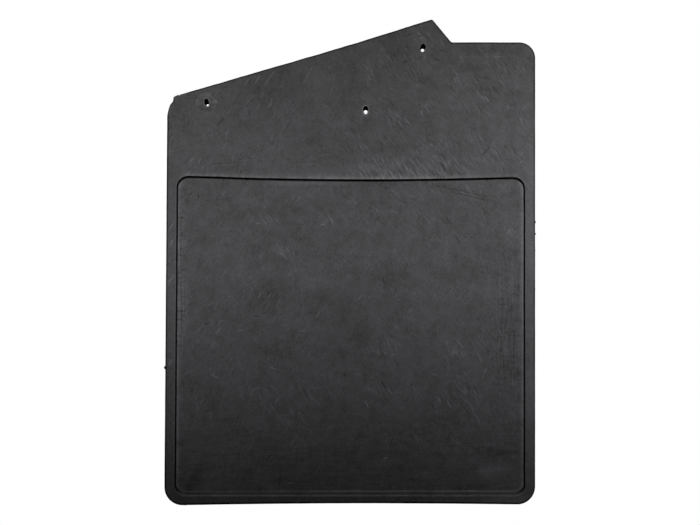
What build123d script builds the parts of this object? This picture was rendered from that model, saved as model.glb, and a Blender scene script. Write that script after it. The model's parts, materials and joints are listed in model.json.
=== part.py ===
from build123d import *

import math
import os

# Rubber mud flap for the inner side of a wheel arch, in millimetres.
#
# The flap is one rubber moulding with nothing else on it: a thick web that bolts to the
# vehicle, and below it a hanging flap whose middle is a thinner panel inside a thick border.
# It hangs in the XZ plane with +Z up. Its back face lies at Y = 0 against the vehicle, and its
# front face, with the recessed panel, looks along -Y. The origin is the middle bolt hole's
# centre at the back face.
#
# Rubber bends all over. Here the bending is gathered into evenly spaced flex lines across the
# flap, so the moulding is cut at those lines into the bolted web and twelve strips. Each strip
# turns about the line above it.

# Thickness, measured forwards from the back face.
BORDER_THICKNESS = 8.0
PANEL_THICKNESS = 5.0

# Outer edges of the flap. The left edge leans out a little towards the bottom.
RIGHT_X = 174.1
LEFT_X_AT_BOTTOM = -206.8
LEFT_X_AT_TOP = -203.8
BOTTOM_LEFT_Z = -405.7
BOTTOM_RIGHT_Z = -404.8
BOTTOM_BOW = 2.6
BOTTOM_CORNER_RADIUS = 18.5

# Top edge: a flat shoulder on the right, then a peak, then a long slope down to the left. The
# slope sags a little, because it was cut by hand.
SHOULDER_Z = 69.9
SHOULDER_RADIUS = 15.5
NOTCH_X = 88.1
NOTCH_RADIUS = 3.0
PEAK_X = 68.3
PEAK_Z = 93.5
PEAK_RADIUS = 2.5
SLOPE_SAG = (-15.5, 67.1)
SLOPE_SAG_RADIUS = 4000.0
SLOPE_FOOT_X = -185.8
SLOPE_FOOT_Z = 17.4

# Top left corner, cut off by hand with three short strokes of a knife.
CUT_START = (-201.9, 0.0)
CUT_MIDDLE = (-197.3, 10.7)
CUT_END = (-192.6, 16.0)
CUT_RADIUS = 1.0
LEFT_EDGE_TOP_Z = -5.5

# Thin panel: its edge is the foot of the step down from the border.
BORDER_WIDTH = 11.9
PANEL_TOP_Z = -69.4
PANEL_TOP_BOW = 4.2
PANEL_BOTTOM_Z = -392.0
PANEL_TOP_RADIUS = 11.0
PANEL_BOTTOM_RADIUS = 9.0
STEP_DRAFT = 18.0

# Three clearance holes for M6 bolts.
BOLT_HOLE_RADIUS = 3.3
LEFT_HOLE = (-163.0, 7.8)
MIDDLE_HOLE = (0.0, 0.0)
PEAK_HOLE = (58.7, 63.8)

# Flex lines, counted down from the bolted web. Together they let the flap curl 90 degrees.
FIRST_FLEX_Z = -34.0
FLEX_PITCH = 30.75
FLEX_COUNT = 12
FLEX_RANGE = 7.5
RELIEF_MARGIN = 1.0
RELIEF_GAP = 0.15

# The bow of a long edge is one wide arc. It takes this share of each half of the edge.
BOW_ARC_SHARE = 0.7
OVERSIZE = 50.0


def bow_radius(half_length, bow):
    """Radius of the wide arc that rounds the blunt point in the middle of a bowed edge."""
    return BOW_ARC_SHARE * half_length / (bow / half_length)


def closed_outline(corners):
    """Flat face in the XZ plane through (x, z, radius) corners, each rounded to its radius."""
    points = [(x, z) for x, z, radius in corners]
    radii = [radius for x, z, radius in corners]
    line = FilletPolyline(*points, radius=radii, close=True)
    return Plane.XZ * make_face(line)


def outer_face():
    """Outline of the whole moulding."""
    half_width = (RIGHT_X - LEFT_X_AT_BOTTOM) / 2
    middle_x = RIGHT_X - half_width
    middle_z = (BOTTOM_LEFT_Z + BOTTOM_RIGHT_Z) / 2 + BOTTOM_BOW
    return closed_outline(
        [
            (RIGHT_X, SHOULDER_Z, SHOULDER_RADIUS),
            (NOTCH_X, SHOULDER_Z, NOTCH_RADIUS),
            (PEAK_X, PEAK_Z, PEAK_RADIUS),
            (*SLOPE_SAG, SLOPE_SAG_RADIUS),
            (SLOPE_FOOT_X, SLOPE_FOOT_Z, CUT_RADIUS),
            (*CUT_END, CUT_RADIUS),
            (*CUT_MIDDLE, CUT_RADIUS),
            (*CUT_START, CUT_RADIUS),
            (LEFT_X_AT_TOP, LEFT_EDGE_TOP_Z, CUT_RADIUS),
            (LEFT_X_AT_BOTTOM, BOTTOM_LEFT_Z, BOTTOM_CORNER_RADIUS),
            (middle_x, middle_z, bow_radius(half_width, BOTTOM_BOW)),
            (RIGHT_X, BOTTOM_RIGHT_Z, BOTTOM_CORNER_RADIUS),
        ]
    )


def left_edge_x(z):
    """X of the leaning left edge at height z."""
    share = (z - BOTTOM_LEFT_Z) / (LEFT_EDGE_TOP_Z - BOTTOM_LEFT_Z)
    return LEFT_X_AT_BOTTOM + share * (LEFT_X_AT_TOP - LEFT_X_AT_BOTTOM)


def panel_face():
    """Outline of the thin panel at its floor. Its top edge sags in the middle."""
    right = RIGHT_X - BORDER_WIDTH
    top_left = left_edge_x(PANEL_TOP_Z) + BORDER_WIDTH
    bottom_left = left_edge_x(PANEL_BOTTOM_Z) + BORDER_WIDTH
    half_width = (right - top_left) / 2
    return closed_outline(
        [
            (right, PANEL_TOP_Z, PANEL_TOP_RADIUS),
            (
                right - half_width,
                PANEL_TOP_Z - PANEL_TOP_BOW,
                bow_radius(half_width, PANEL_TOP_BOW),
            ),
            (top_left, PANEL_TOP_Z, PANEL_TOP_RADIUS),
            (bottom_left, PANEL_BOTTOM_Z, PANEL_BOTTOM_RADIUS),
            (right, PANEL_BOTTOM_Z, PANEL_BOTTOM_RADIUS),
        ]
    )


def recess():
    """Space in front of the thin panel, widening towards the front by the step's draft."""
    floor = Pos(0, -PANEL_THICKNESS, 0) * panel_face()
    depth = BORDER_THICKNESS - PANEL_THICKNESS
    return extrude(floor, amount=depth, taper=-STEP_DRAFT)


def bolt_hole(centre):
    """Cutter for one bolt hole through the web."""
    x, z = centre
    middle = Pos(x, -BORDER_THICKNESS / 2, z)
    return middle * Rot(90, 0, 0) * Cylinder(BOLT_HOLE_RADIUS, 2 * BORDER_THICKNESS)


def moulding():
    """The whole flap in one piece, before it is cut at the flex lines."""
    body = extrude(outer_face(), amount=BORDER_THICKNESS)
    body -= recess()
    for centre in (LEFT_HOLE, MIDDLE_HOLE, PEAK_HOLE):
        body -= bolt_hole(centre)
    return body


def neutral_y(z):
    """Y of the plane that neither stretches nor shortens where the flap bends at height z."""
    if z > PANEL_TOP_Z:
        return -BORDER_THICKNESS / 2
    panel_width = RIGHT_X - left_edge_x(z) - 2 * BORDER_WIDTH
    border_area = 2 * BORDER_WIDTH * BORDER_THICKNESS
    panel_area = panel_width * PANEL_THICKNESS
    moment = border_area * BORDER_THICKNESS / 2 + panel_area * PANEL_THICKNESS / 2
    return -moment / (border_area + panel_area)


def flex_z(number):
    """Height of a flex line. Line 1 is just below the bolted web."""
    return FIRST_FLEX_Z - (number - 1) * FLEX_PITCH


def end_profile(number, side):
    """Three (y, z) points of the roof-shaped end that leaves room to turn at a flex line.

    Side is 1 for the end above the line and -1 for the end below it.
    """
    ridge_y = neutral_y(flex_z(number))
    ridge_z = flex_z(number) + side * RELIEF_GAP
    slope = FLEX_RANGE / 2 + RELIEF_MARGIN
    rise = side * OVERSIZE * math.tan(math.radians(slope))
    return [
        (ridge_y - OVERSIZE, ridge_z + rise),
        (ridge_y, ridge_z),
        (ridge_y + OVERSIZE, ridge_z + rise),
    ]


def zone(upper_line, lower_line):
    """Prism across the flap between two flex lines. None means an open end."""
    far_z = 4 * OVERSIZE
    far_end = [(-OVERSIZE, far_z), (OVERSIZE, far_z)]
    low_end = [(-OVERSIZE, BOTTOM_LEFT_Z - OVERSIZE), (OVERSIZE, BOTTOM_LEFT_Z - OVERSIZE)]
    top = far_end if upper_line is None else end_profile(upper_line, -1)
    bottom = low_end if lower_line is None else end_profile(lower_line, 1)
    side_view = make_face(Polyline(*top, *reversed(bottom), close=True))
    return extrude(Plane.YZ * side_view, amount=10 * OVERSIZE, both=True)


def node_names():
    """Names of the pieces, from the bolts down."""
    panel_strips = [f"panel_strip_{i + 1}" for i in range(FLEX_COUNT - 2)]
    return ["mounting_web", "neck_strip", *panel_strips, "bottom_strip"]


def main():
    """Writes one file for each zone of the moulding."""
    os.makedirs("parts", exist_ok=True)
    whole = moulding()
    names = node_names()
    for i, name in enumerate(names):
        upper_line = None if i == 0 else i
        lower_line = None if i == len(names) - 1 else i + 1
        piece = whole & zone(upper_line, lower_line)
        piece.label = name
        export_step(piece, f"parts/{name}.step")


main()
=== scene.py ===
import json
import math

import bpy
import numpy as np
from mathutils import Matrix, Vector, geometry, kdtree, noise


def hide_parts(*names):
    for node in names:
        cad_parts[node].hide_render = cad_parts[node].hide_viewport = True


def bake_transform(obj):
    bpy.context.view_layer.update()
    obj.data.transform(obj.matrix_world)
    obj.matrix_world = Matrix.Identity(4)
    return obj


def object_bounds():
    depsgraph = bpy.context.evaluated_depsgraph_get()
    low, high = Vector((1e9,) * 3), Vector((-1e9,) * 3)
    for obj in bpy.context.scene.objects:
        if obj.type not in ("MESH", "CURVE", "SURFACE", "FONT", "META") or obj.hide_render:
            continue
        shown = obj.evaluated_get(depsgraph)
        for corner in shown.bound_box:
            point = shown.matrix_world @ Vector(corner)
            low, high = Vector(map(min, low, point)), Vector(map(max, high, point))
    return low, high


# Looks of the rubber mud flap: one moulding, shown as twelve skins cut apart half way between
# the flex lines. Lengths are in millimetres until a mesh or a light is made, where MM turns them into
# metres. Loops run in the flap's XZ plane, counter-clockwise as seen from the front, and y
# counts from the back face at 0 towards the front face at a negative y.

MM = 0.001

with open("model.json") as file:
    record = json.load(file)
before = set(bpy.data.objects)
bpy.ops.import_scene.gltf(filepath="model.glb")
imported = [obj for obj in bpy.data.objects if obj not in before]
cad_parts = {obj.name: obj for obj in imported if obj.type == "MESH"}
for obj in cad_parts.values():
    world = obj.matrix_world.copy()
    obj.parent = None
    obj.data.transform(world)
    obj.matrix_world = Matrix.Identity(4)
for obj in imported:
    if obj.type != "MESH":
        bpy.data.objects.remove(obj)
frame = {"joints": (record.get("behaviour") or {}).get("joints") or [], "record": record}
cad_low, cad_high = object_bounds()

BODIES = list(frame["record"]["behaviour"]["bodies"])
FLEX_Z = [joint["pos_m"][2] / MM for joint in frame["joints"]]
MOUNTS = {mount["name"]: mount["pos_m"] for mount in frame["record"]["mounts"]}

# Outline, with the CAD model's driving sizes but for two corner radii and the slope's foot.
RIGHT = cad_high.x / MM
LEFT_AT_BOTTOM = -206.8
LEFT_AT_TOP = -203.8
LEFT_TOP_Z = -5.5
BOTTOM_LEFT_Z = -405.7
BOTTOM_RIGHT_Z = -404.8
BOTTOM_BOW = 2.6
BOTTOM_CORNER_RADIUS = 18.5
SHOULDER_Z = 69.9
SHOULDER_RADIUS = 16.5
NOTCH_X = 88.1
NOTCH_RADIUS = 3.0
PEAK = (68.3, 93.5)
PEAK_RADIUS = 2.5
SLOPE_SAG = (-15.5, 67.1)
SLOPE_SAG_RADIUS = 4000.0
SLOPE_FOOT = (-187.9, 16.8)
SLOPE_FOOT_RADIUS = 1.0
LEFT_TOP_RADIUS = 12.0
BOW_ARC_SHARE = 0.7

# The top left corner was cut off by hand and is ragged: (x, z, radius) from the slope down.
RAGGED_CORNER = [
    (-189.4, 16.5, 0.8),
    (-191.0, 15.4, 0.8),
    (-192.8, 15.8, 0.8),
    (-197.0, 13.5, 0.7),
    (-197.7, 9.0, 0.8),
    (-200.7, 5.1, 0.9),
    (-201.9, 1.6, 0.8),
    (-202.6, -0.3, 0.7),
]

# Thickness and edges.
FRONT_Y = cad_low.y / MM
PANEL_DEPTH = 3.0
MOULDED_EDGE_RADIUS = 1.2
BACK_EDGE_RADIUS = 0.7
CUT_EDGE_RADIUS = 0.35
FLAT_MARGIN = 0.8
CUT_MARGIN = 0.25
EDGE_TURNS = [math.radians(angle) for angle in (0, 30, 60, 90)]

# Flash along the mould's parting line: (y from the line, share of the flash's reach).
FLASH_PROFILE = [(0.9, 0.0), (0.35, 0.35), (0.0, 1.0), (-0.35, 0.35), (-0.9, 0.0)]
FLASH_Y = FRONT_Y / 2
FLASH_REACH = 0.22

# Painted shade on the side wall, and the distance between the last two rows inside the edge.
SIDE_SHADE = 0.3
INNER_ROW_GAP = 0.7

# Nibs of flash torn off at the parting line: (x, z, reach, half width).
FLASH_NIBS = [
    (RIGHT, -114.5, 1.3, 1.4),
    (RIGHT, -126.8, 1.4, 1.2),
    (RIGHT, -143.5, 0.7, 1.6),
    (RIGHT, -184.0, 0.6, 2.0),
    (LEFT_AT_BOTTOM + 1.0, -264.4, 1.9, 1.6),
    (LEFT_AT_BOTTOM, -330.0, 0.5, 1.8),
    (-185.5, BOTTOM_LEFT_Z, 0.9, 1.8),
    (60.0, BOTTOM_RIGHT_Z, 0.5, 2.4),
]

# Line where the border steps down to the thin panel. Its wall is wider at the bottom.
LIP_SIDE_WIDTH = 10.6
LIP_TOP_LEFT_Z = -67.1
LIP_TOP_RIGHT_Z = -68.5
LIP_TOP_SAG = 5.0
LIP_BOTTOM_Z = -395.1
LIP_TOP_RADIUS = 12.0
LIP_BOTTOM_RADIUS = 11.0
WALL_WIDTH = 0.7
LOWER_WALL_WIDTH = 3.2

# Painted highlight along the panel's top edge: (x, amount).
BEAD_HIGHLIGHT = [
    (-190.0, 0.7),
    (-150.0, 0.6),
    (-100.0, 0.7),
    (-60.0, 0.9),
    (75.0, 1.0),
    (100.0, 0.5),
    (160.0, 0.3),
]

HOLE_POINTS = 40

# Bolt holes, punched through and torn tall: half sizes of the opening at the front, half sizes
# of the narrowest place inside, that place's offset from the middle of the opening, how far the
# opening leans to the right for each millimetre of height, how pale its rim is, and the
# seed of its uneven edge.
HOLE_SHAPES = {
    "left_bolt_hole": {
        "front": (2.3, 3.9),
        "throat": (1.6, 1.1),
        "offset": (0.6, -1.9),
        "lean": -0.13,
        "rim_paleness": 1.0,
        "seed": 13.0,
    },
    "middle_bolt_hole": {
        "front": (2.5, 4.1),
        "throat": (1.9, 2.0),
        "offset": (0.1, -1.1),
        "lean": -0.03,
        "rim_paleness": 0.8,
        "seed": 3.0,
    },
    "peak_bolt_hole": {
        "front": (2.5, 4.0),
        "throat": (1.9, 1.7),
        "offset": (0.0, -1.4),
        "lean": 0.10,
        "rim_paleness": 0.2,
        "seed": 10.0,
    },
}

# Ring left by a washer: (distance from its radius, depth, paleness of its painted highlight and speck).
WASHER_RADIUS = 9.4
WASHER_POINTS = 48
WASHER_SEED = 31.0
WASHER_PROFILE = [
    (-2.3, 0.0, 0.2),
    (-1.3, 0.05, 0.3),
    (-0.5, 0.12, 0.1),
    (0.3, 0.15, 0.5),
    (1.1, 0.08, 0.3),
    (2.0, 0.0, 0.0),
]

# Directions from the hole to the ring's arc with a painted highlight and to its pale speck.
HIGHLIGHT_ARC = (-0.65, 0.75)
PALE_SPECK = (1.0, 0.12)

SCRAPE_DEPTH = 0.14
SCUFF_HEIGHT = 0.04
SCRAPE_POINTS = 14

# Scrapes in the front face: (x, z, angle, length, width, strength). Pale ones are above 0.
# They were placed one by one, and thinned out so that none of them cross.
SCRAPES = [
    (-122, 28.5, 60, 10.5, 1.6, 0.9),
    (-131, 13.5, 61, 22, 1.5, -0.5),
    (-140, -1.5, 52, 8, 1.3, 0.5),
    (-111, 31.5, 58, 12, 2, 0.8),
    (-99, 32.5, 57, 20, 1.8, 0.9),
    (-59, 36.5, 60, 24, 1.6, 0.7),
    (-35, 20, 64, 14, 1.2, 0.6),
    (-149, -12.5, 50, 13, 1.8, -0.7),
    (-157, -24.5, 52, 9, 1.4, 0.6),
    (-110, 4, 60, 9, 1.3, 0.7),
    (-98, 5, 48, 9, 1.6, 0.6),
    (-142, -22.5, 60, 10, 1.2, 0.7),
    (-144, -35.5, 57, 10, 1.2, 0.8),
    (-80, -16.5, 58, 12, 1.4, -0.6),
    (-93, -35.5, 60, 12, 1.2, 0.6),
    (-179, -51.5, 60, 9, 1.8, 0.9),
    (-170, -51.5, 55, 8, 1.8, 0.7),
    (0, 44.5, -54, 14, 1.4, 0.6),
    (10, 36.5, -56, 12, 1.3, -0.6),
    (43, -11.5, -54, 15, 1.3, 0.9),
    (24, -11.5, -58, 14, 1.6, 0.5),
    (108, -27.5, -60, 12, 1.2, 0.7),
    (123, -42.5, 48, 15, 2, -0.7),
    (133, 20.5, -52, 14, 1.8, -0.6),
    (151, 37.5, -55, 18, 1.6, 0.6),
    (121, 32.5, -12, 22, 1, -0.5),
    (85, -113.5, -58, 9, 1.4, -0.8),
    (122, -103.5, -66, 10, 1.4, -0.8),
    (12, -102.5, -50, 6, 1.4, 0.9),
    (-109, -190.5, 60, 8, 1.4, 0.9),
    (-99, -190.5, 56, 7, 1.4, 0.8),
    (-49, -209.5, 58, 10, 1.4, 0.9),
    (-6, -192.5, 56, 8, 1.6, 0.8),
    (13, -248, -66, 8, 1.7, 1),
    (90, -249, -62, 7, 1.7, 1),
    (117, -252.5, -62, 20, 1.3, 0.9),
    (33, -239.5, -52, 12, 1.2, 0.6),
    (97, -239.5, -54, 13, 1.2, 0.6),
    (1, -301.5, -62, 9, 1.8, 1),
    (76, -297.5, -62, 8, 1.8, 1),
    (86, -302, -62, 10, 1.8, 1),
    (102, -306.5, -52, 24, 1.4, -0.5),
    (107, -302.5, -54, 18, 1.2, 0.4),
    (18, -281.5, -56, 12, 2.2, -0.8),
    (-119, -285.5, -50, 10, 1.4, 0.8),
    (-65, -316.5, -64, 20, 1.4, 0.6),
    (-73, -336.5, 58, 22, 1.2, 0.5),
    (-88, -376.5, 84, 24, 1.3, -0.7),
    (-159, -318.5, -84, 24, 1.3, 0.4),
    (-86, 26, 58, 9, 1.3, 0.7),
    (-68, 40.5, 62, 12, 1.8, 0.6),
    (-26, 14.5, 58, 8, 1.2, 0.5),
    (-62, -28, 56, 9, 1.3, 0.6),
    (-121, -50, 4, 26, 1.2, -0.22),
    (-60, -54, 2, 34, 1.2, -0.22),
    (-40, -44.5, 3, 22, 1.2, -0.22),
    (45, 77.5, 24, 9, 2, -0.9),
    (57, 76, 8, 10, 1.5, -0.8),
    (42.5, 64.5, -55, 5, 2.2, -1),
    (33.5, 61.5, -50, 4, 2.2, -1),
    (27, 53, -62, 7, 1.8, -1),
    (40.5, 49.5, 35, 6, 2.4, -0.9),
    (56, 54, 30, 8, 1.8, -0.7),
    (69.5, 62, -35, 8, 1.8, -0.45),
    (73.5, 52, -30, 7, 2.4, -0.6),
    (64.5, 78.5, -58, 9, 1.4, 0.8),
    (78, 70, -62, 12, 1.4, 0.8),
    (18, 68.5, -58, 8, 1.2, -0.6),
    (92, 39, -50, 10, 1.8, 0.7),
    (140, 28, -55, 9, 1.4, 0.6),
    (127, 10.5, -52, 9, 1.8, -0.8),
    (115, 18.5, -48, 7, 1.6, 0.6),
    (146, 2.5, 70, 6, 1.6, 0.9),
    (163, 3, 55, 7, 1.4, 0.8),
    (147, -18, -80, 14, 1.4, 0.6),
    (160, -12, -70, 12, 1.4, 0.7),
    (68, -35.5, -60, 5, 1.8, 0.9),
    (80, -48, -56, 14, 1.4, -0.6),
    (62, -25, -84, 16, 1.8, -0.26),
    (118, -29, -58, 10, 1.2, 0.6),
    (131, -52, -60, 12, 1.2, 0.4),
    (160, -53, 10, 6, 1.8, 0.45),
    (-147, -55, 2, 30, 1, -0.22),
    (-104, -114.5, -48, 9, 1.6, 0.8),
    (-98, -109.5, -52, 8, 1.4, 0.7),
    (-92, -112, -56, 7, 1.4, 0.6),
    (-111, -116, 8, 6, 2, 0.7),
    (-87, -147, -50, 9, 1.6, 0.7),
    (-80, -143, -54, 8, 1.4, 0.7),
    (-74, -147, -58, 7, 1.4, 0.6),
    (-44, -117, 10, 6, 2, 0.7),
    (-35, -112.5, -54, 8, 1.4, 0.7),
    (-172, -88, -80, 5, 2.4, -0.7),
    (30, -104, -20, 9, 1.6, 0.5),
    (47, -88, -10, 10, 1.6, 0.6),
    (40, -95, -30, 8, 1.6, -0.5),
    (55, -111, 60, 9, 1.8, -0.5),
    (70, -126, 20, 12, 1.8, -0.3),
    (147.5, -124, 50, 8, 1.6, 0.8),
    (95, -133, -60, 12, 1.6, -0.6),
    (-75, -177, -86, 34, 1.4, 0.4),
    (-65, -192, -84, 30, 1.4, 0.3),
    (31, -190, 50, 8, 1.4, 0.6),
    (87, -186, 50, 9, 1.4, 0.6),
    (47, -205, 45, 10, 1.4, 0.5),
    (97, -192, 48, 8, 1.4, 0.5),
    (24, -240, -58, 11, 1.3, 0.7),
    (99.5, -249.5, -62, 9, 1.4, 0.8),
    (20.5, -250, -60, 6, 1.4, 0.7),
    (29, -251, 10, 6, 1.6, 0.5),
    (123, -267.5, 70, 8, 1.6, 0.7),
    (103, -270.5, -50, 9, 1.3, 0.6),
    (95, -273.5, -45, 8, 1.3, 0.6),
    (-8, -271, -20, 7, 1.8, 0.7),
    (71, -271.5, -20, 7, 1.8, 0.7),
    (25, -288.5, -54, 12, 1.6, 0.5),
    (106, -285, -56, 15, 1.4, -0.6),
    (113.5, -288, -54, 12, 1.4, -0.5),
    (97, -287, -56, 12, 1.4, 0.4),
    (70, -305.5, -58, 9, 1.4, -0.6),
    (-8, -312, 2, 8, 1.4, 0.6),
    (112.5, -312.5, -52, 14, 1.2, 0.6),
    (37, -331, 38, 12, 1.6, -0.5),
    (26, -341, 52, 12, 1.4, -0.5),
    (45, -338, -30, 12, 1.4, 0.4),
    (20.5, -357.5, 30, 6, 2, 0.9),
    (52, -376, 40, 5, 1.8, 0.6),
    (-112, -285.5, 4, 7, 1.8, 0.52),
    (-103.5, -286.5, -30, 9, 1.4, 0.6),
    (-94, -285.5, -34, 10, 1.4, 0.6),
    (-127, -294.5, -40, 10, 2, 0.6),
    (-78, -287.5, 55, 6, 1.8, 0.45),
    (-49, -285.5, 2, 7, 1.8, 0.52),
    (-56.5, -294, -60, 14, 1.3, 0.6),
    (-62, -291, -58, 14, 1.3, -0.5),
    (-36, -290.5, -60, 9, 1.4, 0.6),
    (-92, -311, -58, 28, 1.4, 0.6),
    (-104, -304, -55, 16, 1.2, 0.4),
    (-168, -298, 60, 10, 1.6, 0.7),
    (-91, -298, 60, 10, 1.6, 0.7),
    (-76, -309.5, -70, 7, 1.8, 0.7),
    (-174, -300.5, -80, 26, 1.4, 0.5),
    (-152, -227, 60, 10, 2.6, 0.5),
    (-148, -216, 10, 9, 1.8, 0.45),
    (-157, -241, 60, 12, 1.8, 0.6),
    (-95, -265, -25, 8, 2, 0.8),
    (-156, -273, -25, 10, 2.4, 0.7),
    (-129, -226, 0, 9, 1.4, 0.6),
    (-66, -226.5, 0, 9, 1.4, 0.6),
    (-152, -202, 70, 6, 1.8, -0.52),
    (-163, -219, 30, 8, 1.8, -0.45),
    (-113, -211.5, 0, 7, 1.6, -0.7),
    (-104, -208.5, 20, 5, 1.6, -0.7),
    (-57, -208, 10, 6, 1.6, -0.7),
    (-84, -331, 50, 20, 1.2, 0.4),
    (-96, -341.5, 50, 16, 1.2, 0.4),
    (-61, -327, -30, 16, 1.6, 0.4),
    (-77, -383, 20, 5, 2.2, 0.8),
    (-158, -376, 60, 6, 1.4, 0.6),
    (-135, -376, 50, 5, 1.8, 0.6),
    (98, -83, -12, 60, 1.6, -0.45),
    (108, -88.5, -13, 48, 1.4, -0.35),
    (106, 54.5, 0, 26, 1.4, 0.45),
    (134, 54.8, 1, 26, 1.4, 0.45),
    (110, 58.5, 80, 5, 1.2, 0.4),
    (125, 58.5, 84, 5, 1.2, 0.4),
    (143, 58.8, 80, 5, 1.2, 0.4),
]

# Broad paler and darker patches of the front face: (x, z, angle, length, height, strength).
# Most are tone that differs at random, and some are painted light and shade.
# They were placed one by one.
PATCHES = [
    # Painted light and shade on a shallow dent near the lower right: its lower side paler, its upper
    # side darker.
    (132, -371, 6, 46, 22, 0.55),
    (124, -366, -35, 18, 12, 0.20),
    (105, -388, 0, 60, 9, -0.30),
    (136, -352, 0, 52, 13, -0.35),
    (-178, -381, 60, 44, 16, -0.30),
    (24, -62, 0, 140, 22, 0.30),
    (-70, -66, 0, 120, 9, 0.25),
    (94, -82, -12, 100, 12, -0.22),
    (70, -76, -6, 70, 6, -0.25),
    (146, -78, 0, 44, 16, 0.22),
    # Paler strips down the right border: painted light, where more light falls.
    (166, -40, 90, 190, 26, 0.20),
    (171, -200, 90, 420, 18, 0.22),
    (171, -112, 90, 190, 20, 0.30),
    (171, -325, 90, 190, 20, 0.26),
    (160, -402, 0, 110, 18, 0.75),
    (100, -402, 0, 110, 14, 0.22),
    (-199, -150, 90, 190, 16, 0.14),
    (-70, -75, 0, 130, 6, 0.55),
    (-187, -120, 90, 90, 8, 0.35),
    (-186, -205, 90, 120, 8, 0.30),
    (122, 62, 0, 80, 12, -0.35),
    (110, 44, 0, 40, 12, -0.22),
    (60, 30, -40, 44, 18, -0.22),
    (66, -20, -70, 40, 22, -0.25),
    (12, -37, 4, 90, 18, -0.18),
    (-25, 45, 20, 50, 18, -0.18),
    (-118, 20, 30, 40, 26, -0.12),
    (-90, -105, 0, 70, 16, -0.22),
    (-40, -102, 0, 30, 14, -0.25),
    (-100, -192, 10, 80, 50, -0.20),
    (-40, -202, 10, 70, 50, -0.18),
    (24, -168, 0, 60, 34, -0.20),
    (100, -168, 0, 60, 34, -0.20),
    (-60, -178, 0, 24, 22, 0.18),
    (60, -216, 0, 60, 34, 0.12),
    (-100, -246, 0, 60, 22, -0.14),
    (-5, -232, 90, 30, 24, -0.30),
    (70, -228, 80, 26, 18, -0.30),
    (75, -322, 30, 60, 26, -0.20),
    (150, -305, 0, 34, 30, 0.14),
    (50, -374, 0, 60, 9, 0.22),
    (0, -352, 0, 160, 22, -0.10),
    (-104, -112, -40, 26, 13, 0.22),
    (-86, -146, -36, 28, 13, 0.22),
    (-36, -113, -40, 22, 11, 0.18),
    (-163, 3, 0, 26, 18, -0.16),
]

# Places with dense strokes that lean to the left, of the same form.
STROKED = [
    (16, -60, 0, 70, 36, 1.2),
    (56, -60, 0, 76, 40, 1.2),
    (34, -65, 0, 130, 16, 1),
    (98, -56, 0, 60, 36, 0.7),
    (30, -12, -50, 56, 22, 0.7),
    (120, -36, -50, 60, 30, 0.5),
    (-104, -112, -40, 30, 16, 0.9),
    (-86, -146, -36, 32, 16, 0.9),
    (-36, -113, -40, 26, 14, 0.8),
    (142, 34, -50, 50, 24, 0.7),
    (126, 8, -50, 40, 24, 0.8),
    (62, 76, -60, 30, 24, 0.9),
    (20, 56, -50, 44, 30, 0.7),
    (-110, -290, -30, 60, 26, 0.8),
    (-56, -290, -30, 60, 26, 0.8),
    (-66, -332, -40, 60, 26, 0.6),
    (20, -243, 0, 60, 26, 0.7),
    (100, -245, 0, 60, 30, 0.9),
    (104, -292, -40, 60, 40, 1),
    (14, -288, -30, 60, 26, 0.9),
    (40, -338, 20, 60, 30, 0.6),
    (100, -80, -14, 80, 14, 0.6),
]

# Scrapes on the left border, of the same form.
BORDER_SCRAPES = [
    (-199.5, -119.5, 58, 12, 2.0, 1.0),
    (-199.5, -136.5, 60, 12, 2.0, 1.0),
    (-199.5, -173.0, 54, 12, 2.2, 1.0),
    (-200.5, -259.0, 56, 11, 2.0, 0.8),
]

# Spacing of points along the edge and the lip, and inside the faces.
EDGE_SPACING = 1.5
LIP_SPACING = 2.0
FRONT_SPACING = 3.0
BACK_SPACING = 5.0
LARGEST_ARC_STEP = math.radians(15)
SNAP = 0.35
RANDOM_SEED = 7

# The skins meet half way between the flex lines.
SEAMS = [(a + b) / 2 for a, b in zip(FLEX_Z, FLEX_Z[1:])]


def unit(vectors):
    """Vectors along the last axis, scaled to length 1."""
    return vectors / np.linalg.norm(vectors, axis=-1, keepdims=True)


def smooth(value, low, high):
    """0 below low, 1 above high, and a smooth change between them. High may be below low."""
    t = np.clip((value - low) / (high - low), 0, 1)
    return t * t * (3 - 2 * t)


def noise_at(x, z, size, seed=0.0):
    """Smooth noise from -1 to 1 at every point, with features about size across."""
    return np.array([noise.noise(Vector((a / size, seed, b / size))) for a, b in zip(x, z)])


# ------------------------ loops in the flap's plane


def bow_radius(half_length, bow):
    """Radius of the wide arc in the middle of a bowed edge."""
    return BOW_ARC_SHARE * half_length / (bow / half_length)


def rounded(corners, spacing):
    """Closed line through (x, z, radius) corners, each corner an arc."""
    arcs = []
    for i, (x, z, radius) in enumerate(corners):
        corner = np.array((x, z))
        back = unit(np.array(corners[i - 1][:2]) - corner)
        ahead = unit(np.array(corners[(i + 1) % len(corners)][:2]) - corner)
        turn = math.pi - math.acos(np.clip(back @ ahead, -1, 1))
        side = math.copysign(1, -back[0] * ahead[1] + back[1] * ahead[0])
        centre = corner + unit(back + ahead) * radius / math.cos(turn / 2)
        arm = corner + back * radius * math.tan(turn / 2) - centre
        steps = max(2, math.ceil(turn / min(LARGEST_ARC_STEP, spacing / radius)))
        angles = side * np.linspace(0, turn, steps + 1)
        arcs.append(
            centre
            + np.stack(
                [
                    arm[0] * np.cos(angles) - arm[1] * np.sin(angles),
                    arm[0] * np.sin(angles) + arm[1] * np.cos(angles),
                ],
                axis=1,
            )
        )
    points = []
    for arc, following in zip(arcs, arcs[1:] + arcs[:1]):
        points.append(arc)
        gap = following[0] - arc[-1]
        steps = max(1, round(np.linalg.norm(gap) / spacing))
        shares = np.arange(1, steps)[:, None] / steps
        points.append(arc[-1] + gap * shares)
    return np.concatenate(points)


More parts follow.
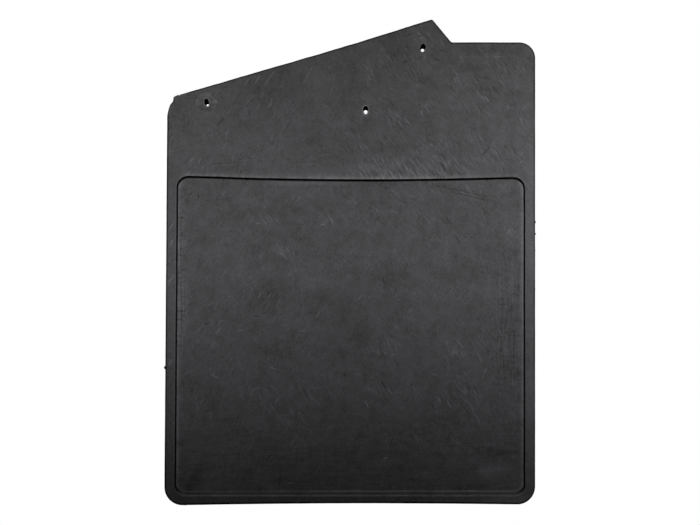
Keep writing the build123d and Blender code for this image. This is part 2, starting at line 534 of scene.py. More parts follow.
class Loop:
    """Closed line with a point wherever it crosses a seam. Those points stay on their seam."""

    def __init__(self, points):
        points = points.copy()
        for seam in SEAMS:
            points[np.abs(points[:, 1] - seam) < SNAP, 1] = seam
        made, on_seam = [], []
        for a, b in zip(points, np.roll(points, -1, axis=0)):
            made.append(a)
            on_seam.append(a[1] in SEAMS)
            crossed = [z for z in SEAMS if (a[1] - z) * (b[1] - z) < 0]
            for z in sorted(crossed, key=lambda z: abs(z - a[1])):
                made.append((a[0] + (b[0] - a[0]) * (z - a[1]) / (b[1] - a[1]), z))
                on_seam.append(True)
        self.points = np.array(made)
        self.on_seam = np.array(on_seam)
        self.update_inward()

    def update_inward(self):
        """Inward direction at each point, square to the line there."""
        after = unit(np.roll(self.points, -1, axis=0) - self.points)
        along = unit(after + np.roll(after, 1, axis=0))
        self.inward = np.stack([-along[:, 1], along[:, 0]], axis=1)

    def inset(self, distance):
        """The line's points moved inwards by a distance, or by one distance for each point."""
        distance = np.broadcast_to(distance, len(self.points))[:, None]
        moved = self.points + self.inward * distance
        moved[self.on_seam, 1] = self.points[self.on_seam, 1]
        return moved


def outline_loop():
    """Outer edge of the flap, a little uneven as moulded, and more where it was cut by hand."""
    half_width = (RIGHT - LEFT_AT_BOTTOM) / 2
    middle_z = (BOTTOM_LEFT_Z + BOTTOM_RIGHT_Z) / 2 + BOTTOM_BOW
    loop = Loop(
        rounded(
            [
                (RIGHT, SHOULDER_Z, SHOULDER_RADIUS),
                (NOTCH_X, SHOULDER_Z, NOTCH_RADIUS),
                (*PEAK, PEAK_RADIUS),
                (*SLOPE_SAG, SLOPE_SAG_RADIUS),
                (*SLOPE_FOOT, SLOPE_FOOT_RADIUS),
                *RAGGED_CORNER,
                (LEFT_AT_TOP, LEFT_TOP_Z, LEFT_TOP_RADIUS),
                (LEFT_AT_BOTTOM, BOTTOM_LEFT_Z, BOTTOM_CORNER_RADIUS),
                (RIGHT - half_width, middle_z, bow_radius(half_width, BOTTOM_BOW)),
                (RIGHT, BOTTOM_RIGHT_Z, BOTTOM_CORNER_RADIUS),
            ],
            EDGE_SPACING,
        )
    )
    x, z = loop.points.T
    moulded = 0.10 * noise_at(x, z, 28.0) + 0.05 * noise_at(x, z, 6.0, 5.0)
    by_hand = 0.28 * noise_at(x, z, 17.0, 9.0) + 0.16 * noise_at(x, z, 4.0, 13.0)
    cut = hand_cut(loop.points)
    loop.points = loop.inset(moulded * (1 - cut) + by_hand * cut)
    loop.update_inward()
    return loop


def hand_cut(points):
    """1 on the slanted edge and the ragged corner, which were cut by hand, and 0 elsewhere."""
    x, z = points.T
    return smooth(x, PEAK[0] + 1, PEAK[0] - 3) * smooth(z, LEFT_TOP_Z - 2.5, LEFT_TOP_Z + 3.5)


def lip_loop():
    """Line round the recessed panel, where the border's face ends. Its top edge sags."""
    right = RIGHT - LIP_SIDE_WIDTH
    lean = (LEFT_AT_TOP - LEFT_AT_BOTTOM) / (LEFT_TOP_Z - BOTTOM_LEFT_Z)
    top_left = LEFT_AT_BOTTOM + lean * (LIP_TOP_LEFT_Z - BOTTOM_LEFT_Z) + LIP_SIDE_WIDTH
    bottom_left = LEFT_AT_BOTTOM + lean * (LIP_BOTTOM_Z - BOTTOM_LEFT_Z) + LIP_SIDE_WIDTH
    half_width = (right - top_left) / 2
    loop = Loop(
        rounded(
            [
                (right, LIP_TOP_RIGHT_Z, LIP_TOP_RADIUS),
                (
                    right - half_width,
                    (LIP_TOP_LEFT_Z + LIP_TOP_RIGHT_Z) / 2 - LIP_TOP_SAG,
                    bow_radius(half_width, LIP_TOP_SAG),
                ),
                (top_left, LIP_TOP_LEFT_Z, LIP_TOP_RADIUS),
                (bottom_left, LIP_BOTTOM_Z, LIP_BOTTOM_RADIUS),
                (right, LIP_BOTTOM_Z, LIP_BOTTOM_RADIUS),
            ],
            LIP_SPACING,
        )
    )
    x, z = loop.points.T
    loop.points = loop.inset(0.16 * noise_at(x, z, 34.0, 17.0) + 0.07 * noise_at(x, z, 9.0, 19.0))
    loop.update_inward()
    return loop


def oval(centre, half_width, half_height, count, seed=0.0, ragged=0.0):
    """Counter-clockwise oval of count points, with an uneven edge where ragged is above 0."""
    angles = np.linspace(0, 2 * math.pi, count, endpoint=False)
    across, up = np.cos(angles), np.sin(angles)
    bumps = 1 + ragged * (noise_at(across, up, 0.9, seed) + 0.6 * noise_at(across, up, 0.3, seed))
    return np.stack(
        [centre[0] + half_width * across * bumps, centre[1] + half_height * up * bumps], axis=1
    )


def inside(points, loop):
    """True for each point that lies inside the closed loop."""
    found = np.zeros(len(points), bool)
    x, z = points.T
    for (ax, az), (bx, bz) in zip(loop, np.roll(loop, -1, axis=0)):
        if az == bz:
            continue
        crosses = (az > z) != (bz > z)
        found ^= crosses & (x < ax + (bx - ax) * (z - az) / (bz - az))
    return found


# ------------------------ the skin of the moulding


class Skin:
    """Points and faces of the whole moulding's surface, before it is cut into pieces."""

    def __init__(self):
        self.blocks = []
        self.paint = {"dust": [], "scrape": [], "shade": []}
        self.count = 0
        self.faces = []

    def add(self, flat, y, dust=0.0, scrape=0.0, shade=0.0):
        """Adds points of the flap's plane at y, with their paint, and returns their numbers."""
        y = np.broadcast_to(y, len(flat))
        self.blocks.append(np.stack([flat[:, 0], y, flat[:, 1]], axis=1))
        for layer, value in (("dust", dust), ("scrape", scrape), ("shade", shade)):
            self.paint[layer].append(np.broadcast_to(value, len(flat)))
        self.count += len(flat)
        return np.arange(self.count - len(flat), self.count)

    def points(self):
        """All points so far, as rows of x, y, z."""
        return np.concatenate(self.blocks)

    def bridge(self, rows):
        """Quads between closed rows of points. Rows run from the back to the front."""
        for lower, upper in zip(rows, rows[1:]):
            self.faces += zip(
                lower.tolist(), np.roll(lower, -1).tolist(), np.roll(upper, -1).tolist(), upper.tolist()
            )


def edge_rows(skin, loop):
    """Rows round the flap's edge, from the back face over the side wall to the front face."""
    cut = hand_cut(loop.points)
    front_radius = MOULDED_EDGE_RADIUS + cut * (CUT_EDGE_RADIUS - MOULDED_EDGE_RADIUS)
    back_radius = BACK_EDGE_RADIUS + cut * (CUT_EDGE_RADIUS - BACK_EDGE_RADIUS)
    ragged = cut * smooth(loop.points[:, 0], SLOPE_FOOT[0] + 8, SLOPE_FOOT[0] + 2)
    margin = FLAT_MARGIN + ragged * (CUT_MARGIN - FLAT_MARGIN)
    nibs = np.zeros(len(loop.points))
    for x, z, reach, half_width in FLASH_NIBS:
        distance = np.linalg.norm(loop.points - np.array((x, z)), axis=1)
        nibs += reach * np.exp(-((distance / half_width) ** 2))
    flash = (FLASH_REACH + nibs) * (1 - cut)
    rows = [skin.add(loop.inset(back_radius + margin), 0.0)]
    for turn in EDGE_TURNS:
        inset = back_radius * (1 - math.sin(turn))
        rows.append(skin.add(loop.inset(inset), -back_radius * (1 - math.cos(turn))))
    # The side wall and the rounded front edge carry painted shade.
    for y, share in FLASH_PROFILE:
        rows.append(skin.add(loop.inset(-share * flash), FLASH_Y + y, shade=SIDE_SHADE))
    shade = edge_shade(loop, cut)
    for turn in reversed(EDGE_TURNS):
        inset = front_radius * (1 - math.sin(turn))
        y = FRONT_Y + front_radius * (1 - math.cos(turn))
        rows.append(skin.add(loop.inset(inset), y, shade=shade))
    inset = front_radius + margin
    bottom = smooth(loop.inward[:, 1], 0.2, 0.9)
    inner_share = 0.2 + 0.4 * bottom + 0.5 * cut * (1 - ragged)
    rows.append(skin.add(loop.inset(inset), FRONT_Y, shade=inner_share * shade))
    rows.append(skin.add(loop.inset(inset + INNER_ROW_GAP - 0.6 * ragged), FRONT_Y))
    return rows


def edge_shade(loop, cut):
    """Painted shade on the rounded front edge: darkest at the bottom and where it was cut, lighter and
    uneven on the right.
    """
    bottom = smooth(loop.inward[:, 1], 0.2, 0.9)
    right = smooth(-loop.inward[:, 0], 0.6, 1.0)
    x, z = loop.points.T
    uneven_right = 0.3 + 0.5 * smooth(noise_at(x, z, 45.0, 61.0), -0.5, 0.5)
    shade = 0.75 + 0.22 * bottom + 0.15 * cut
    return shade + right * (1 - cut) * (uneven_right - shade)


def hole_rows(skin, name):
    """Rows through one bolt hole, from the back face to the front face."""
    shape = HOLE_SHAPES[name]
    centre = np.array((MOUNTS[name][0], MOUNTS[name][2])) / MM
    front, throat = np.array(shape["front"]), np.array(shape["throat"])
    low = centre + np.array(shape["offset"])
    half_way = (front + throat) / 2
    # y, middle, half sizes, unevenness, shade (painted shade on the wall, so that the inside looks
    # black).
    sections = [
        (0.0, low, throat + 2.2, 0.02, 0.0),
        (0.0, low, throat + 1.3, 0.04, 0.3),
        (-0.35, low, throat + 0.9, 0.05, 0.6),
        (-1.2, low, throat + 0.3, 0.07, 0.95),
        (-3.0, low, throat, 0.10, 0.95),
        (-4.6, (low + centre) / 2, half_way, 0.10, 0.95),
        (-6.4, centre, front - 0.35, 0.12, 0.95),
        (FRONT_Y + 0.7, centre, front - 0.1, 0.12, 0.9),
        (FRONT_Y + 0.25, centre, front + 0.05, 0.12, 0.6),
        (FRONT_Y - 0.02, centre, front + 0.35, 0.10, 0.0),
        (FRONT_Y - 0.1, centre, front + 0.9, 0.08, 0.0),
        (FRONT_Y, centre, front + 1.6, 0.06, 0.0),
    ]
    rows = []
    for y, middle, half, ragged, shade in sections:
        ring = oval(middle, *half, HOLE_POINTS, shape["seed"], ragged)
        ring[:, 0] += shape["lean"] * (ring[:, 1] - middle[1])
        dust = shape["rim_paleness"] if y < FRONT_Y else 0.0
        rows.append(skin.add(ring, y, dust=dust, shade=shade))
    return [row[::-1] for row in rows]


def lip_rows(skin, loop):
    """Rows across the step between the border and the panel, from the border inwards."""
    top = smooth(-loop.inward[:, 1], 0.5, 1.0)
    bottom = smooth(loop.inward[:, 1], 0.2, 1.0)
    side = 1 - top - bottom
    wall = WALL_WIDTH + (LOWER_WALL_WIDTH - WALL_WIDTH) * bottom
    x, z = loop.points.T
    patchy = 1 + 0.5 * noise_at(x, z, 14.0, 67.0) + 0.5 * noise_at(x, z, 4.0, 71.0)
    # Painted highlights: along the bead over the top edge, on the crest and root of the lower wall, and
    # at the foot of the side walls.
    bead = top * patchy * np.interp(x, *zip(*BEAD_HIGHLIGHT))
    crest = bottom * patchy
    root = bottom * patchy * smooth(x, -120, 20)
    inner = side * patchy
    # Painted shade on the walls, least on the lower wall, which faces up.
    dark = 0.9 * (1 - bottom)
    # Inset, share of the wall's width, depth, paleness (painted highlight), shade (painted shade).
    profile = [
        (-3.4, 0.0, 0.0, 0.12 * bead, 0.0),
        (-2.0, 0.0, -0.08, 0.35 * bead, 0.0),
        (-1.0, 0.0, -0.15, 0.8 * bead + 0.1 * side + 0.15 * crest, 0.0),
        (-0.3, 0.0, -0.08, 0.9 * bead + 0.25 * side + 0.55 * crest, 0.0),
        (0.0, 0.0, 0.12, 0.3 * crest, 0.7 * dark),
        (0.0, 0.12, 0.55, 0.0, dark + 0.25 * bottom),
        (0.0, 0.5, 0.5 * PANEL_DEPTH, 0.0, dark + 0.35 * bottom),
        (0.0, 0.88, PANEL_DEPTH - 0.45, 0.0, dark + 0.35 * bottom),
        (0.1, 1.0, PANEL_DEPTH - 0.12, 0.1 * root, 0.5 * dark),
        (0.5, 1.0, PANEL_DEPTH + 0.04, 0.3 * inner + 0.9 * root, 0.0),
        (1.3, 1.0, PANEL_DEPTH + 0.02, 0.5 * inner + 0.1 * root, 0.0),
        (3.0, 1.0, PANEL_DEPTH, 0.12 * inner, 0.0),
    ]
    return [
        skin.add(loop.inset(offset + share * wall), FRONT_Y + depth, dust=dust, shade=shade)
        for offset, share, depth, dust, shade in profile
    ]


def washer_rows(skin):
    """Shallow ring pressed into the rubber by a washer round the left bolt hole.

    A painted highlight shows it at its upper left, and a pale speck on its right.
    """
    centre = np.array((MOUNTS["left_bolt_hole"][0], MOUNTS["left_bolt_hole"][2])) / MM
    rows = []
    for reach, depth, dust in WASHER_PROFILE:
        radius = WASHER_RADIUS + reach
        ring = oval(centre, radius, radius, WASHER_POINTS, WASHER_SEED, 0.01)
        bearing = unit(ring - centre)
        arc = smooth(bearing @ unit(np.array(HIGHLIGHT_ARC)), 0.1, 0.6)
        speck = 2.2 * smooth(bearing @ unit(np.array(PALE_SPECK)), 0.975, 0.998)
        rows.append(skin.add(ring, FRONT_Y + depth, dust=dust * (arc + speck)))
    return rows


def scrape_rows(skin, scrape, face_y):
    """Rows of one long narrow scrape in the front face: its edge and its bed."""
    x, z, angle, length, width, strength = scrape
    cosine, sine = math.cos(math.radians(angle)), math.sin(math.radians(angle))
    rows = []
    for long, wide, share in ((0.5, 0.5, 0.0), (0.38, 0.2, 1.0)):
        along, across = oval((0.0, 0.0), long * length, wide * width, SCRAPE_POINTS).T
        turned = np.stack([along * cosine - across * sine, along * sine + across * cosine], axis=1)
        flat = Loop(turned + np.array((x, z))).points
        depth = share * (SCRAPE_DEPTH if strength < 0 else -SCUFF_HEIGHT)
        rows.append(skin.add(flat, face_y(flat) + depth, scrape=share * strength))
    return rows


def patches(points, rows):
    """Sum of soft elliptical patches at each point of the front face, and 0 further back."""
    total = np.zeros(len(points))
    for x, z, angle, length, height, strength in rows:
        cosine, sine = math.cos(math.radians(angle)), math.sin(math.radians(angle))
        dx, dz = points[:, 0] - x, points[:, 2] - z
        along = (dx * cosine + dz * sine) / (length / 2)
        across = (dz * cosine - dx * sine) / (height / 2)
        total += strength * smooth(along**2 + across**2, 1.0, 0.0)
    return total * smooth(points[:, 1], 0.3 * FRONT_Y, 0.5 * FRONT_Y)


def fill(skin, outer, loops, holes, spacing, y_of, facing_front):
    """Triangles over one face of the flap, inside outer and outside the holes.

    Every loop, given as point numbers, becomes edges of the triangles, and so does each seam.
    """
    known = skin.points()
    closed = [outer, *loops, *holes]
    used = np.concatenate(closed)
    flat = known[used][:, [0, 2]]
    edges, start = [], 0
    for ring in closed:
        numbers = np.arange(start, start + len(ring))
        edges += zip(numbers.tolist(), np.roll(numbers, -1).tolist())
        start += len(ring)

    tree = kdtree.KDTree(len(flat))
    for i, (x, z) in enumerate(flat):
        tree.insert((x, z, 0), i)
    tree.balance()

    random = np.random.default_rng(RANDOM_SEED)
    low, high = flat.min(0), flat.max(0)
    xs = np.arange(low[0] + spacing / 2, high[0], spacing)
    zs = np.arange(low[1] + spacing / 2, high[1], spacing)
    grid = np.stack(np.meshgrid(xs, zs), axis=-1).reshape(-1, 2)
    grid += random.uniform(-0.28, 0.28, grid.shape) * spacing
    off_seams = np.min(np.abs(grid[:, 1:] - np.array(SEAMS)), axis=1) > 0.45 * spacing
    seam_points = np.array([(x, z) for z in SEAMS for x in xs])
    grid = np.concatenate([grid[off_seams], seam_points])
    keep = inside(grid, known[outer][:, [0, 2]])
    for ring in holes:
        keep &= ~inside(grid, known[ring][:, [0, 2]])
    clear = 0.55 * spacing
    keep &= np.array([tree.find((x, z, 0))[2] > clear for x, z in grid])
    grid = grid[keep]
    used = np.concatenate([used, skin.add(grid, y_of(grid))])
    flat = np.concatenate([flat, grid])

    for seam in SEAMS:
        on_seam = np.flatnonzero(flat[:, 1] == seam)
        order = on_seam[np.argsort(flat[on_seam, 0])]
        edges += zip(order[:-1].tolist(), order[1:].tolist())

    inside_constraints = 1
    made = geometry.delaunay_2d_cdt(
        [Vector(p) for p in flat.tolist()], edges, [], inside_constraints, 1e-6
    )
    crossings = [tuple(point) for point, sources in zip(made[0], made[3]) if len(sources) != 1]
    if crossings:
        raise ValueError(f"loops cross or touch each other at {crossings}")
    source = np.array([s[0] for s in made[3]])
    triangles = source[np.array(made[2])]
    centres = flat[triangles].mean(1)
    keep = np.ones(len(triangles), bool)
    for ring in holes:
        keep &= ~inside(centres, known[ring][:, [0, 2]])
    triangles = used[triangles[keep]]
    if not facing_front:
        triangles = triangles[:, ::-1]
    skin.faces += [tuple(t) for t in triangles.tolist()]
    return used[np.isin(flat[:, 1], SEAMS)]


def uneven(points):
    """The points with both faces slightly wavy, as a rubber sheet comes out of its mould."""
    x, z = points[:, 0], points[:, 2]
    front = 0.16 * noise_at(x, z, 75.0, 41.0) + 0.05 * noise_at(x, z, 21.0, 43.0)
    back = 0.12 * noise_at(x, z, 90.0, 47.0) + 0.03 * noise_at(x, z, 24.0, 53.0)
    share = np.clip(points[:, 1] / FRONT_Y, 0, 1)
    moved = points.copy()
    moved[:, 1] += front * share - back * (1 - share)
    return moved


def point_normals(points, faces):
    """Outward direction at every point, weighted by the areas of the faces round it."""
    total = np.zeros_like(points)
    triangles = np.array(
        [face[:3] for face in faces] + [(f[0], f[2], f[3]) for f in faces if len(f) == 4]
    )
    a, b, c = points[triangles.T]
    area = np.cross(b - a, c - a)
    for corner in range(3):
        np.add.at(total, triangles[:, corner], area)
    return unit(total)


def seam_caps(skin, seam, edge, front, back):
    """Closed line round the moulding's cross-section at a seam, anticlockwise from above."""
    known = skin.points()
    at = [i for i in range(len(edge[0])) if known[edge[0][i], 2] == seam]
    left, right = sorted(at, key=lambda i: known[edge[0][i], 0])
    front = front[known[front, 2] == seam]
    back = back[known[back, 2] == seam]
    front = front[np.argsort(known[front, 0])]
    back = back[np.argsort(-known[back, 0])]
    right_wall = [row[right] for row in edge[1:-1]][::-1]
    left_wall = [row[left] for row in edge[1:-1]]
    return [*front.tolist(), *right_wall, *back.tolist(), *left_wall]


def make_skin():
    """The skin's points, their paint, its faces, and the ring of points at each seam."""
    skin = Skin()
    edge = edge_rows(skin, outline_loop())
    holes = [hole_rows(skin, name) for name in HOLE_SHAPES]
    lip = lip_rows(skin, lip_loop())
    washer = washer_rows(skin)
    skin.bridge(edge)
    for rows in holes:
        skin.bridge(rows)

    panel = skin.points()[lip[-1]][:, [0, 2]]

    def front_y(grid):
        return FRONT_Y + PANEL_DEPTH * inside(grid, panel)

    scrapes = [row for scrape in SCRAPES for row in scrape_rows(skin, scrape, front_y)]
    front = fill(
        skin,
        edge[-1],
        [*lip, *washer, *scrapes],
        [rows[-1] for rows in holes],
        FRONT_SPACING,
        front_y,
        True,
    )
    back = fill(skin, edge[0], [], [rows[0] for rows in holes], BACK_SPACING, lambda grid: 0.0, False)
    caps = [seam_caps(skin, seam, edge, front, back) for seam in SEAMS]
    paint = {name: np.concatenate(values) for name, values in skin.paint.items()}
    paint["patch"] = patches(skin.points(), PATCHES)
    paint["stroked"] = patches(skin.points(), STROKED)
    return uneven(skin.points()), paint, skin.faces, caps


def make_pieces(material):
    """Cuts the skin at the seams into closed pieces, one for each flex line."""
    points, paint, faces, caps = make_skin()
    normals = point_normals(points, faces)
    height = np.array([points[list(face), 2].mean() for face in faces])
    zone = np.sum(height[:, None] < np.array(SEAMS), axis=1)
    names = ["web_skin", "neck_skin"]
    names += [f"panel_skin_{i + 1}" for i in range(len(FLEX_Z) - 3)]
    names += ["bottom_skin"]
    pieces = []
    for number, name in enumerate(names):
        piece_faces = [faces[i] for i in np.flatnonzero(zone == number)]
        directions = [normals[p] for face in piece_faces for p in face]
        if number > 0:
            piece_faces.append(caps[number - 1])
            directions += [(0, 0, 1)] * len(caps[number - 1])
        if number < len(SEAMS):
            piece_faces.append(caps[number][::-1])
            directions += [(0, 0, -1)] * len(caps[number])
        numbers = sorted({p for face in piece_faces for p in face})
        place = {p: i for i, p in enumerate(numbers)}
        local = [[place[p] for p in face] for face in piece_faces]
        mesh = bpy.data.meshes.new(name)
        mesh.from_pydata((points[numbers] * MM).tolist(), [], local)
        mesh.shade_smooth()
        mesh.normals_split_custom_set([tuple(d) for d in directions])
        rest = mesh.attributes.new("rest", "FLOAT_VECTOR", "POINT")
        rest.data.foreach_set("vector", (points[numbers] * MM).astype(np.float32).ravel())
        for layer, values in paint.items():
            painted = mesh.attributes.new(layer, "FLOAT", "POINT")
            painted.data.foreach_set("value", values[numbers].astype(np.float32))
        mesh.materials.append(material)
        piece = bpy.data.objects.new(name, mesh)
        bpy.context.scene.collection.objects.link(piece)
        pieces.append(piece)
    return pieces


def hang_pieces(pieces):
    """Bakes each piece's transform and hides the CAD bodies that it stands for."""
    for number, piece in enumerate(pieces):
        above, below = BODIES[number], BODIES[number + 1]
        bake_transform(piece)
        stood_for = [above, below] if number == 0 else [below]
        for body in stood_for:
            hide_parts(*frame["record"]["behaviour"]["bodies"][body])


# ------------------------ rubber

RUBBER_COLOUR = (0.0445, 0.0445, 0.0480)
# Colour that the paleness layer adds: painted highlights along the lip and the washer ring, and pale
# hole rims.
PALE_COLOUR = (0.115, 0.116, 0.122)

# Panel's extent, for the marks that follow its edges.
PANEL_LEFT = LEFT_AT_BOTTOM + LIP_SIDE_WIDTH
PANEL_RIGHT = RIGHT - LIP_SIDE_WIDTH

ROUGHNESS = 0.60
SPECULAR = 0.5
DARKEST_TONE = 0.25


class Graph:
    """Adds nodes to a node tree. Any input takes a number or another node's output."""

    def __init__(self, tree):
        self.tree = tree
        rest = self.painted("rest", "Vector")
        self.position = self.add(
            "ShaderNodeVectorMath", {"Vector": rest, "Scale": 1 / MM}, operation="SCALE"
        ).outputs[0]

    def add(self, kind, inputs, **settings):
        """One node of a kind, with its settings and its inputs."""
        node = self.tree.nodes.new(kind)
        for key, value in settings.items():
            setattr(node, key, value)
        for key, value in inputs.items():
            if isinstance(value, bpy.types.NodeSocket):
                self.tree.links.new(value, node.inputs[key])
            else:
                node.inputs[key].default_value = value
        return node

    def painted(self, layer, output="Fac"):
        """Value that the mesh carries at each point."""
        return self.add("ShaderNodeAttribute", {}, attribute_name=layer).outputs[output]

    def math(self, operation, a, b=0.0, clamp=False):
        """Result of one sum on two values, kept between 0 and 1 where clamp is set."""
        inputs = {0: a, 1: b}
        return self.add("ShaderNodeMath", inputs, operation=operation, use_clamp=clamp).outputs[0]

    def total(self, first, *others):
        for other in others:
            first = self.math("ADD", first, other)
        return first

    def product(self, first, *others):
        for other in others:
            first = self.math("MULTIPLY", first, other)
        return first

    def ramp(self, value, low, high):
        """0 at low and 1 at high, with a smooth change between them."""
        inputs = {"Value": value, "From Min": low, "From Max": high}
        return self.add("ShaderNodeMapRange", inputs, interpolation_type="SMOOTHSTEP").outputs[0]

    def placed(self, x, y, z, angle, sizes):
        """Position measured from a place, turned by angle in the flap's plane, in sizes."""
        inputs = {
            "Vector": self.position,
            "Location": (x, y, z),
            "Rotation": (0, -math.radians(angle), 0),
            "Scale": sizes,
        }
        return self.add("ShaderNodeMapping", inputs, vector_type="TEXTURE").outputs[0]

    def noise(self, size, detail=3.0, roughness=0.55, angle=0.0, stretch=1.0, seed=0.0):
        """Noise about 0, from about -0.5 to 0.5, drawn out along angle by stretch."""
        where = self.placed(0, 50 * seed, 0, angle, (size * stretch, size, size))
        inputs = {"Vector": where, "Scale": 1.0, "Detail": detail, "Roughness": roughness}
        made = self.add("ShaderNodeTexNoise", inputs).outputs[0]
        return self.math("SUBTRACT", made, 0.5)

    def spot(self, x, z, angle, length, width):
        """1 in the middle of an ellipse in the flap's plane, falling to 0 at its edge."""
        at = self.placed(x, 0, z, angle, (length / 2, 1e4, width / 2))
        squared = self.add("ShaderNodeVectorMath", {0: at, 1: at}, operation="DOT_PRODUCT")
        return self.math("SUBTRACT", 1.0, squared.outputs["Value"], clamp=True)


def leaning_marks(graph, x):
    """Flow marks, strokes and denser strokes. They lean right at the left, and left at the right."""
    leaning = graph.noise(1.3, 2, 0.6, angle=58, stretch=4, seed=4)
    falling = graph.noise(1.3, 2, 0.6, angle=-54, stretch=4, seed=5)
    to_right = graph.ramp(graph.total(x, graph.product(graph.noise(40, 2, seed=6), 220)), -70, 10)
    to_left = graph.math("SUBTRACT", 1.0, to_right)
    patchy = graph.ramp(graph.noise(16, 2, seed=7), -0.08, 0.12)
    flow = graph.product(
        graph.total(graph.product(leaning, to_left), graph.product(falling, to_right)),
        graph.total(0.3, patchy),
    )
    up = graph.noise(1.7, 1, 0.5, angle=59, stretch=7, seed=8)
    down = graph.noise(1.7, 1, 0.5, angle=-57, stretch=6, seed=9)
    strokes = graph.product(
        graph.total(
            graph.product(graph.ramp(up, 0.13, 0.22), to_left),
            graph.product(graph.ramp(down, 0.13, 0.22), to_right),
            graph.product(graph.ramp(up, -0.14, -0.23), -0.7),
        ),
        graph.total(0.25, patchy),
    )
    dense = graph.product(graph.painted("stroked"), graph.ramp(down, -0.02, 0.16))
    sparse = graph.product(graph.painted("stroked"), graph.ramp(down, -0.06, -0.18), -0.5)
    return flow, strokes, graph.total(dense, sparse)


def panel_lines(graph, x, z, panel):
    """Level lines low in the panel, and rungs and upright streaks along its sides."""
    level = graph.noise(1.6, 2, 0.5, angle=2, stretch=12, seed=10)
    low_panel = graph.product(graph.ramp(z, -290, -350), panel)
    by_right = graph.product(
        graph.ramp(x, PANEL_RIGHT - 38, PANEL_RIGHT - 22),
        graph.ramp(x, PANEL_RIGHT - 1, PANEL_RIGHT - 6),
        graph.product(graph.ramp(z, -110, -190), graph.ramp(z, -320, -270)),
    )
    by_left = graph.product(
        graph.ramp(x, PANEL_LEFT + 13, PANEL_LEFT + 7),
        graph.product(graph.ramp(z, -95, -105), graph.ramp(z, -265, -215)),
    )
    rung_area = graph.product(graph.total(graph.product(by_right, 0.35), by_left), panel)
    streak_area = graph.product(graph.total(graph.product(by_right, 0.6), by_left), panel)
    upright = graph.noise(1.6, 2, 0.5, angle=90, stretch=20, seed=11)
    rungs = graph.ramp(graph.noise(3.2, 1, 0.5, angle=0, stretch=3.5, seed=12), -0.03, -0.14)
    return graph.total(
        graph.product(level, low_panel, 0.9),
        graph.product(rungs, rung_area, -0.85),
        graph.product(upright, streak_area, 3.2),
    )


def all_scrapes(graph, front):
    """Strength of the scrapes that the mesh carries and of those on the left border."""
    border_scrapes = [graph.product(graph.spot(*row[:-1]), row[-1]) for row in BORDER_SCRAPES]
    on_border = graph.product(graph.total(*border_scrapes), front)
    return graph.total(graph.painted("scrape"), on_border)


def rubber():
    """Black rubber as it leaves the mould: cloudy, with flow marks, scrapes and fine pits, and with
    painted shade, painted highlights and painted light on some patches.
    """
    material = bpy.data.materials.new("moulded_rubber")
    material.use_nodes = True
    tree = material.node_tree
    graph = Graph(tree)
    shader = tree.nodes["Principled BSDF"]
    x, y, z = graph.add("ShaderNodeSeparateXYZ", {0: graph.position}).outputs
    front = graph.ramp(y, FRONT_Y * 0.3, FRONT_Y * 0.5)
    panel = graph.product(front, graph.ramp(y, FRONT_Y + 1.0, FRONT_Y + PANEL_DEPTH - 0.8))
    web = graph.ramp(z, LIP_TOP_LEFT_Z - 3, LIP_TOP_LEFT_Z + 1)

    clouds = graph.total(
        graph.product(graph.noise(34, 4, 0.6, seed=1), 0.5),
        graph.product(graph.noise(9, 3, 0.65, seed=2), 0.6),
    )
    grain = graph.noise(1.5, 2, 0.7, seed=3)
    flow, strokes, dense_strokes = leaning_marks(graph, x)
    lines = panel_lines(graph, x, z, panel)
    pits = graph.ramp(graph.noise(2.4, 1, 0.4, seed=13), -0.20, -0.29)
    scrapes = all_scrapes(graph, front)
    # The shade layer paints shade: it darkens the colour and dims the reflection.
    unshaded_share = graph.math("SUBTRACT", 1.0, graph.painted("shade"))

    tone = graph.total(
        1.0,
        graph.product(clouds, 1.5),
        graph.product(grain, 1.5),
        graph.product(flow, graph.total(1.1, graph.product(web, 0.5))),
        graph.product(strokes, 0.34),
        graph.product(dense_strokes, 0.5),
        lines,
        graph.product(scrapes, 1.35),
        # Patches, some of which paint light and shade.
        graph.painted("patch"),
        graph.product(pits, -0.5),
    )
    tone = graph.product(graph.math("MAXIMUM", tone, DARKEST_TONE), unshaded_share)
    # The paleness layer paints highlights along the lip and the washer ring, and pale hole rims.
    pale_share = graph.product(
        graph.painted("dust"),
        graph.total(0.9, graph.product(flow, 1.6), graph.product(clouds, 1.0)),
    )
    pale_share = graph.math("ADD", pale_share, 0.0, clamp=True)
    body = graph.add("ShaderNodeVectorMath", {0: RUBBER_COLOUR, "Scale": tone}, operation="SCALE")
    pale_tint = graph.add("ShaderNodeVectorMath", {0: PALE_COLOUR, "Scale": pale_share}, operation="SCALE")
    both = {0: body.outputs[0], 1: pale_tint.outputs[0]}
    colour = graph.add("ShaderNodeVectorMath", both, operation="ADD")

    roughness = graph.total(
        ROUGHNESS,
        graph.product(clouds, -0.35),
        graph.product(grain, 0.25),
        graph.product(strokes, -0.10),
    )
    relief = graph.total(
        graph.product(grain, 0.10),
        graph.product(flow, 0.13),
        graph.product(strokes, 0.03),
        graph.product(scrapes, -0.08),
        graph.product(lines, 0.04),
        graph.product(pits, -0.14),
        graph.product(clouds, 0.25),
    )
    bump = graph.add("ShaderNodeBump", {"Height": relief, "Distance": MM, "Strength": 1.0})
    tree.links.new(colour.outputs[0], shader.inputs["Base Color"])
    tree.links.new(roughness, shader.inputs["Roughness"])
    # Painted shade also dims the reflection.
    tree.links.new(graph.product(unshaded_share, SPECULAR), shader.inputs["Specular IOR Level"])
    tree.links.new(bump.outputs[0], shader.inputs["Normal"])
    return material


# ------------------------ camera, light and floor

CAMERA_DISTANCE = 900.0
VIEW_CENTRE = (-16.05, -156.2)
VIEW_WIDTH = 717.9
SENSOR = 36.0
FLOOR_SIZE = 1.1
FLOOR_Z = -0.6
FLOOR_TONE = 0.8

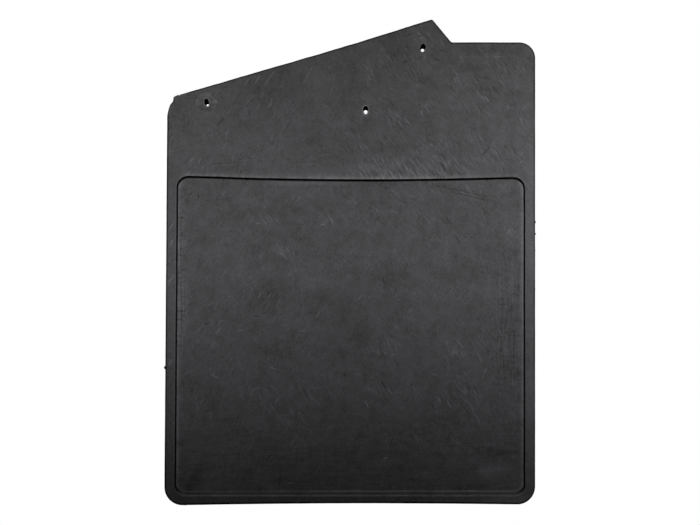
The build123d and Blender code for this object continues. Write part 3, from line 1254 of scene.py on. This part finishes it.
# Soft boxes, in metres: (name, place, target, size, watts, spread in degrees).
ABOVE = (0.0, -1.0, 0.6)
OVER_FLOOR = (0, 0, -0.43)
WIDE_OPEN = 180
LIGHTS = [
    ("key_high", ABOVE, (0, 0, 0), (0.9, 0.5), 0.40, 16),
    ("key_low", ABOVE, (0, 0, -0.15), (0.9, 0.25), 0.33, 15),
    ("right", (0.5, -1.0, 0.5), (0.2, 0, -0.12), (0.3, 0.3), 0.216, 40),
    ("right_side", (0.45, -1.0, 0.3), (0.22, 0, -0.15), (0.2, 0.5), 0.044, 22),
    ("left_side", (-0.45, -1.0, 0.3), (-0.22, 0, -0.15), (0.2, 0.5), 0.075, 22),
    ("low", (0.6, -1.0, -0.6), (0.15, 0, -0.36), (0.3, 0.3), 0.012, 30),
    ("back", (-0.4, 1.3, 0.7), (0, 0, -0.15), (1.2, 1.2), 6.0, 80),
    ("over_floor", OVER_FLOOR, (0, 0, FLOOR_Z), (FLOOR_SIZE, FLOOR_SIZE), 3.8, WIDE_OPEN),
]


def camera():
    """Camera square to the flap, aimed about its middle."""
    data = bpy.data.cameras.new("camera")
    data.sensor_width = SENSOR
    data.lens = SENSOR * (CAMERA_DISTANCE + FRONT_Y) / VIEW_WIDTH
    made = bpy.data.objects.new("camera", data)
    x, z = VIEW_CENTRE
    made.location = (x * MM, -CAMERA_DISTANCE * MM, z * MM)
    made.rotation_euler = (math.pi / 2, 0, 0)
    bpy.context.scene.collection.objects.link(made)
    bpy.context.scene.camera = made


def soft_box(name, place, target, size, watts, spread):
    """Area light at place, in metres, that faces target."""
    data = bpy.data.lights.new(name, "AREA")
    data.shape = "RECTANGLE"
    data.size, data.size_y = size
    data.energy = watts
    data.spread = math.radians(spread)
    made = bpy.data.objects.new(name, data)
    made.location = place
    made.rotation_mode = "QUATERNION"
    made.rotation_quaternion = (Vector(target) - Vector(place)).to_track_quat("-Z", "Y")
    made.visible_camera = False
    bpy.context.scene.collection.objects.link(made)


def studio():
    """White backdrop that gives no light, and the soft boxes."""
    world = bpy.data.worlds.new("white")
    world.use_nodes = True
    world.node_tree.nodes["Background"].inputs["Color"].default_value = (1, 1, 1, 1)
    for ray in ("diffuse", "glossy", "transmission", "scatter"):
        setattr(world.cycles_visibility, ray, False)
    bpy.context.scene.world = world
    bpy.context.scene.view_settings.view_transform = "Standard"

    for light in LIGHTS:
        soft_box(*light)


def floor():
    """Plain pale floor, low enough to stay out of the front view. It throws no light back."""
    half, z = FLOOR_SIZE / 2, FLOOR_Z
    corners = [(-half, -half, z), (half, -half, z), (half, half, z), (-half, half, z)]
    mesh = bpy.data.meshes.new("floor")
    mesh.from_pydata(corners, [], [(0, 1, 2, 3)])
    pale = bpy.data.materials.new("pale_floor")
    pale.use_nodes = True
    shader = pale.node_tree.nodes["Principled BSDF"]
    shader.inputs["Base Color"].default_value = (FLOOR_TONE, FLOOR_TONE, FLOOR_TONE, 1)
    shader.inputs["Roughness"].default_value = 0.7
    mesh.materials.append(pale)
    made = bpy.data.objects.new("floor", mesh)
    made.visible_diffuse = False
    made.visible_glossy = False
    bpy.context.scene.collection.objects.link(made)


hang_pieces(make_pieces(rubber()))
camera()
studio()
floor()

bpy.context.view_layer.update()
